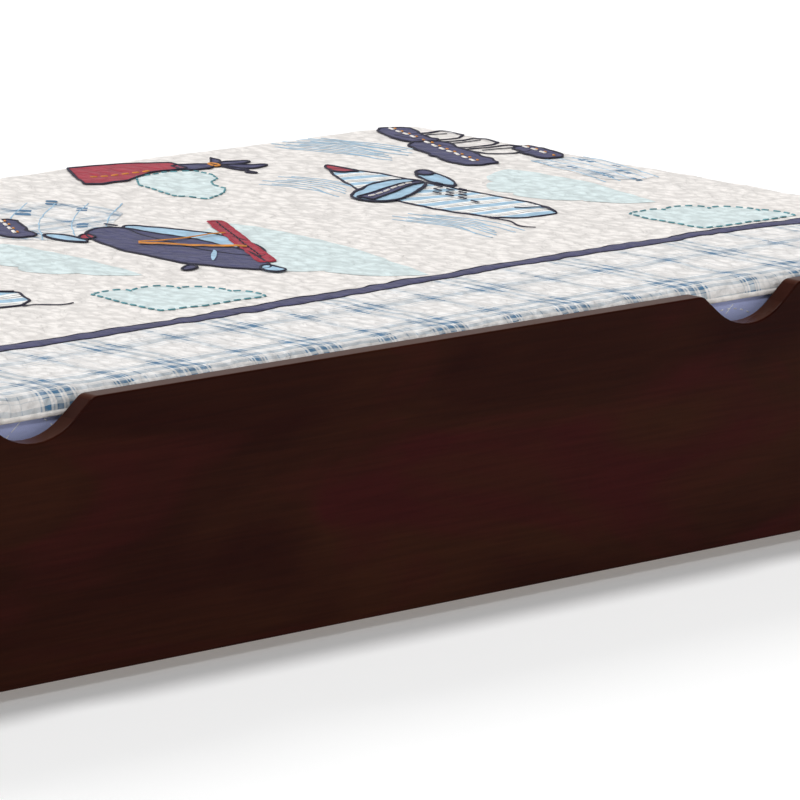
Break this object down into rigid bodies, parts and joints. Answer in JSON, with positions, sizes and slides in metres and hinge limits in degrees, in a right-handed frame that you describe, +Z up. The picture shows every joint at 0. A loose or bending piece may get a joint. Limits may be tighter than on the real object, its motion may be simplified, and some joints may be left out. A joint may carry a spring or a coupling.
{
  "type": "trundle bed",
  "caption": "Low panelled trundle bed with scooped hand grips in its front panel, rolling on casters, with slats, a mattress, a fitted sheet and a quilt.",
  "frame": {"origin": "on the floor, at the middle of the bed's footprint", "axes": "+X along the bed, +Y from the scooped front panel to the back panel, +Z up"},
  "size_m": [1.948, 1.047, 0.2902],
  "materials": {
    "espresso_wood": "satin",
    "pine": "matte",
    "zinc_steel": "satin",
    "wheel_plastic": "satin",
    "tyre_rubber": "matte",
    "mattress_cover": "matte",
    "blue_sheet": "matte",
    "printed_quilt": "matte"
  },
  "bodies": {
    "frame": {"front_panel": "espresso_wood", "back_panel": "espresso_wood", "left_end_panel": "espresso_wood", "right_end_panel": "espresso_wood", "front_cleat": "pine", "back_cleat": "pine", "left_caster_rail": "pine", "right_caster_rail": "pine", "slat_01": "pine", "slat_02": "pine", "slat_03": "pine", "slat_04": "pine", "slat_05": "pine", "slat_06": "pine", "slat_07": "pine", "slat_08": "pine", "slat_09": "pine", "slat_10": "pine", "slat_11": "pine", "slat_12": "pine", "slat_13": "pine", "slat_14": "pine", "front_left_corner_block": "pine", "front_left_caster_fork": "zinc_steel", "front_left_axle_bolt": "zinc_steel", "front_right_corner_block": "pine", "front_right_caster_fork": "zinc_steel", "front_right_axle_bolt": "zinc_steel", "back_left_corner_block": "pine", "back_left_caster_fork": "zinc_steel", "back_left_axle_bolt": "zinc_steel", "back_right_corner_block": "pine", "back_right_caster_fork": "zinc_steel", "back_right_axle_bolt": "zinc_steel", "axle_sleeves": "zinc_steel", "axle_nuts": "zinc_steel", "slat_screws": "zinc_steel", "cleat_screws": "zinc_steel", "block_screws": "zinc_steel", "rail_screws": "zinc_steel", "caster_screws": "zinc_steel", "frame_bolts": "zinc_steel", "threaded_inserts": "zinc_steel"},
    "wheel_front_left": {"front_left_wheel_core": "wheel_plastic", "front_left_tyre": "tyre_rubber"},
    "wheel_front_right": {"front_right_wheel_core": "wheel_plastic", "front_right_tyre": "tyre_rubber"},
    "wheel_back_left": {"back_left_wheel_core": "wheel_plastic", "back_left_tyre": "tyre_rubber"},
    "wheel_back_right": {"back_right_wheel_core": "wheel_plastic", "back_right_tyre": "tyre_rubber"},
    "bedding": {"mattress": "mattress_cover", "fitted_sheet": "blue_sheet", "quilt": "printed_quilt"}
  },
  "joints": [
    {"name": "wheel_front_left_spin", "type": "hinge", "parent": "frame", "child": "wheel_front_left", "pos_m": [-0.8595, -0.4415, 0.025], "axis": [1, 0, 0], "continuous": true},
    {"name": "wheel_front_right_spin", "type": "hinge", "parent": "frame", "child": "wheel_front_right", "pos_m": [0.8595, -0.4415, 0.025], "axis": [1, 0, 0], "continuous": true},
    {"name": "wheel_back_left_spin", "type": "hinge", "parent": "frame", "child": "wheel_back_left", "pos_m": [-0.8595, 0.4415, 0.025], "axis": [1, 0, 0], "continuous": true},
    {"name": "wheel_back_right_spin", "type": "hinge", "parent": "frame", "child": "wheel_back_right", "pos_m": [0.8595, 0.4415, 0.025], "axis": [1, 0, 0], "continuous": true},
    {"name": "mattress_lift", "type": "slide", "parent": "frame", "child": "bedding", "axis": [0, 0, 1], "range_m": [0, 0.35]}
  ]
}
